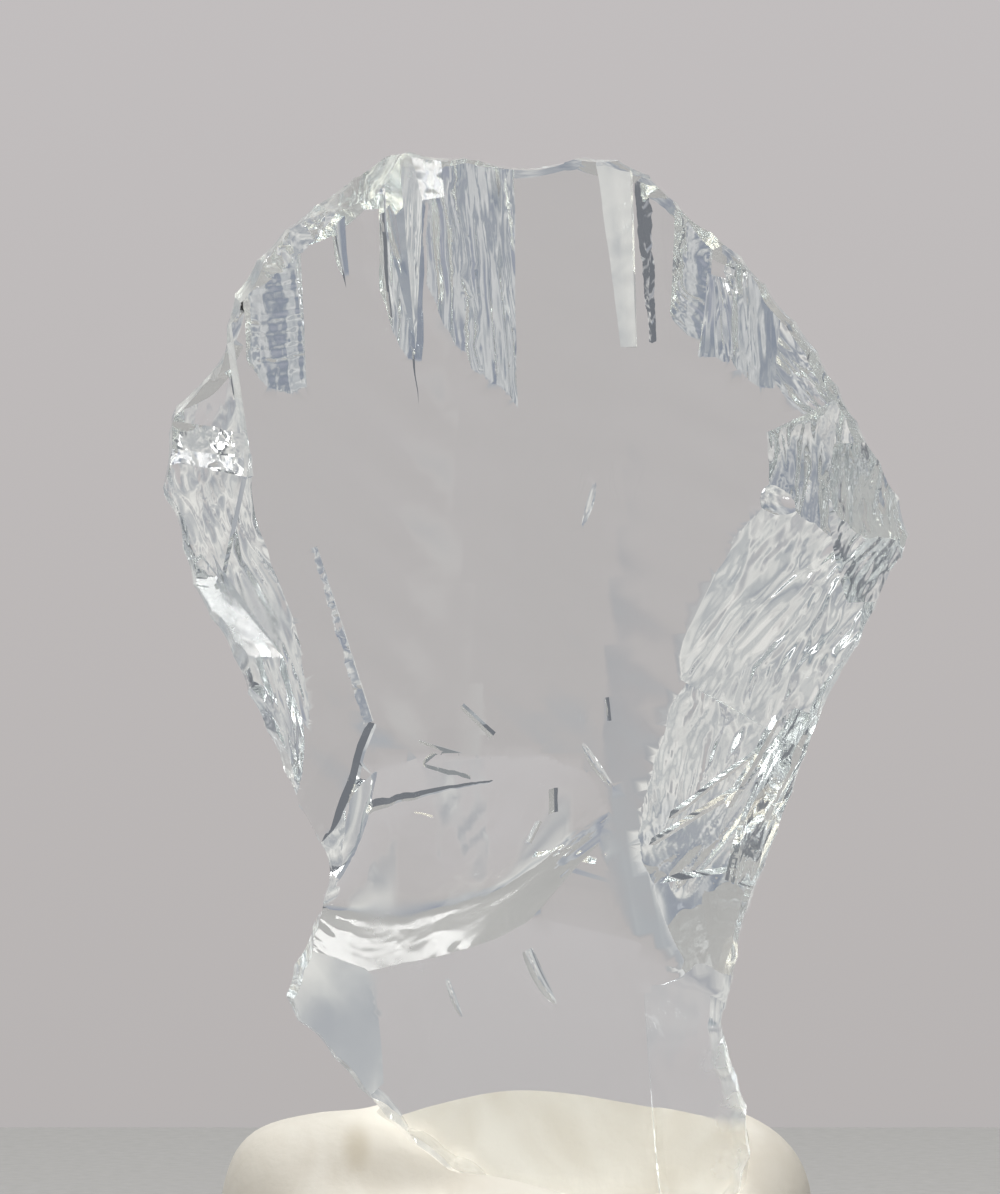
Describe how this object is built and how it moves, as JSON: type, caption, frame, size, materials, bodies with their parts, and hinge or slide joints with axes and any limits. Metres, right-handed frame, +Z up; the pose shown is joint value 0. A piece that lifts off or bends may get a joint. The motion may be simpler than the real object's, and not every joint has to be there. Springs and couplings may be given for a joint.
{
  "type": "andara crystal",
  "caption": "Fan-shaped piece of clear furnace glass with fluted top and hackly broken rims, standing upright in a small pad of white putty.",
  "frame": {"origin": "on the flat underside of the putty, under the middle of the crystal's foot", "axes": "+Z up along the crystal's height, the broad front face looks along -Y, +X to its right as seen from the front"},
  "size_m": [0.0449, 0.0277, 0.0692],
  "materials": {
    "clear_glass": "bright broken glass, clear with a faint blue-green body colour",
    "white_putty": "matt, finger-pressed"
  },
  "bodies": {
    "root": {"crystal": "clear_glass", "putty_stand": "white_putty"}
  },
  "joints": []
}
